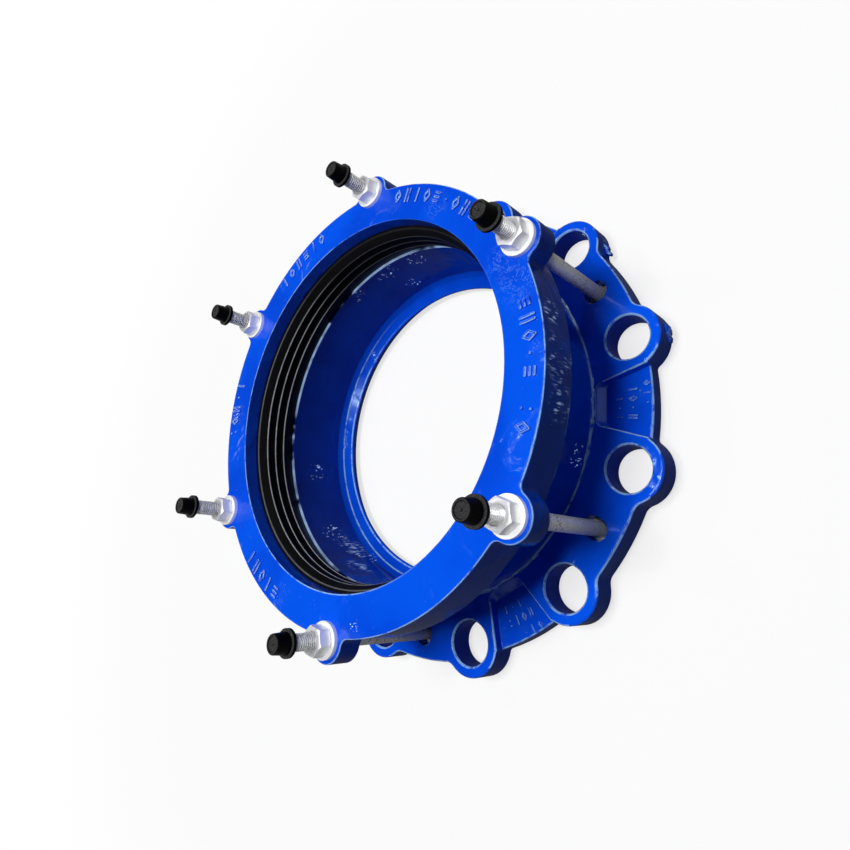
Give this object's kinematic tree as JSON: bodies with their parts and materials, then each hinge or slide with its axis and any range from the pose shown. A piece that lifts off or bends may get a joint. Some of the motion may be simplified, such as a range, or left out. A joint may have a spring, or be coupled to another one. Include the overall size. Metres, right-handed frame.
{
  "type": "flange adaptor",
  "caption": "Flange adaptor for a plain pipe end: flanged cast body, rubber gasket, and a bolted clamp ring with capped tie bolts.",
  "frame": {"origin": "centre of the flange's mating face, which the part stands on", "axes": "+Z along the pipe axis, from the mating face to the clamp ring; +X through the first tie bolt"},
  "size_m": [0.3414, 0.3414, 0.146],
  "materials": {
    "epoxy_coat": "glossy blue epoxy coat on ductile iron",
    "rubber": "satin black",
    "zinc": "dull zinc",
    "bright_zinc": "bright zinc",
    "cap_plastic": "moulded black plastic"
  },
  "bodies": {
    "adaptor_body": {"body": "epoxy_coat", "gasket": "rubber", "tie_bolt_1": "zinc", "tie_bolt_2": "zinc", "tie_bolt_3": "zinc", "tie_bolt_4": "zinc", "tie_bolt_5": "zinc", "tie_bolt_6": "zinc"},
    "ring": {"clamp_ring": "epoxy_coat", "washer_1": "bright_zinc", "washer_2": "bright_zinc", "washer_3": "bright_zinc", "washer_4": "bright_zinc", "washer_5": "bright_zinc", "washer_6": "bright_zinc"},
    "nut_1": {"nut_1": "bright_zinc"},
    "nut_2": {"nut_2": "bright_zinc"},
    "nut_3": {"nut_3": "bright_zinc"},
    "nut_4": {"nut_4": "bright_zinc"},
    "nut_5": {"nut_5": "bright_zinc"},
    "nut_6": {"nut_6": "bright_zinc"},
    "cap_1": {"cap_1": "cap_plastic"},
    "cap_2": {"cap_2": "cap_plastic"},
    "cap_3": {"cap_3": "cap_plastic"},
    "cap_4": {"cap_4": "cap_plastic"},
    "cap_5": {"cap_5": "cap_plastic"},
    "cap_6": {"cap_6": "cap_plastic"}
  },
  "joints": [
    {"name": "ring_slide", "type": "slide", "parent": "adaptor_body", "child": "ring", "axis": [0, 0, 1], "range_m": [-0.012, 0.008], "deforming": ["gasket"]},
    {"name": "nut_turn_1", "type": "hinge", "parent": "ring", "child": "nut_1", "pos_m": [0.1485, 0, 0.1085], "axis": [0, 0, 1], "range_deg": [-2880, 1920]},
    {"name": "nut_turn_2", "type": "hinge", "parent": "ring", "child": "nut_2", "pos_m": [0.07425, 0.1286, 0.1085], "axis": [0, 0, 1], "range_deg": [-2880, 1920]},
    {"name": "nut_turn_3", "type": "hinge", "parent": "ring", "child": "nut_3", "pos_m": [-0.07425, 0.1286, 0.1085], "axis": [0, 0, 1], "range_deg": [-2880, 1920]},
    {"name": "nut_turn_4", "type": "hinge", "parent": "ring", "child": "nut_4", "pos_m": [-0.1485, 0, 0.1085], "axis": [0, 0, 1], "range_deg": [-2880, 1920]},
    {"name": "nut_turn_5", "type": "hinge", "parent": "ring", "child": "nut_5", "pos_m": [-0.07425, -0.1286, 0.1085], "axis": [0, 0, 1], "range_deg": [-2880, 1920]},
    {"name": "nut_turn_6", "type": "hinge", "parent": "ring", "child": "nut_6", "pos_m": [0.07425, -0.1286, 0.1085], "axis": [0, 0, 1], "range_deg": [-2880, 1920]},
    {"name": "cap_pull_1", "type": "slide", "parent": "adaptor_body", "child": "cap_1", "axis": [0, 0, 1], "range_m": [0, 0.016]},
    {"name": "cap_pull_2", "type": "slide", "parent": "adaptor_body", "child": "cap_2", "axis": [0, 0, 1], "range_m": [0, 0.016]},
    {"name": "cap_pull_3", "type": "slide", "parent": "adaptor_body", "child": "cap_3", "axis": [0, 0, 1], "range_m": [0, 0.016]},
    {"name": "cap_pull_4", "type": "slide", "parent": "adaptor_body", "child": "cap_4", "axis": [0, 0, 1], "range_m": [0, 0.016]},
    {"name": "cap_pull_5", "type": "slide", "parent": "adaptor_body", "child": "cap_5", "axis": [0, 0, 1], "range_m": [0, 0.016]},
    {"name": "cap_pull_6", "type": "slide", "parent": "adaptor_body", "child": "cap_6", "axis": [0, 0, 1], "range_m": [0, 0.016]}
  ],
  "couplings": [
    {"joint": "nut_turn_1", "follows": "ring_slide", "rad_per_m": 4188.8},
    {"joint": "nut_turn_2", "follows": "ring_slide", "rad_per_m": 4188.8},
    {"joint": "nut_turn_3", "follows": "ring_slide", "rad_per_m": 4188.8},
    {"joint": "nut_turn_4", "follows": "ring_slide", "rad_per_m": 4188.8},
    {"joint": "nut_turn_5", "follows": "ring_slide", "rad_per_m": 4188.8},
    {"joint": "nut_turn_6", "follows": "ring_slide", "rad_per_m": 4188.8}
  ]
}
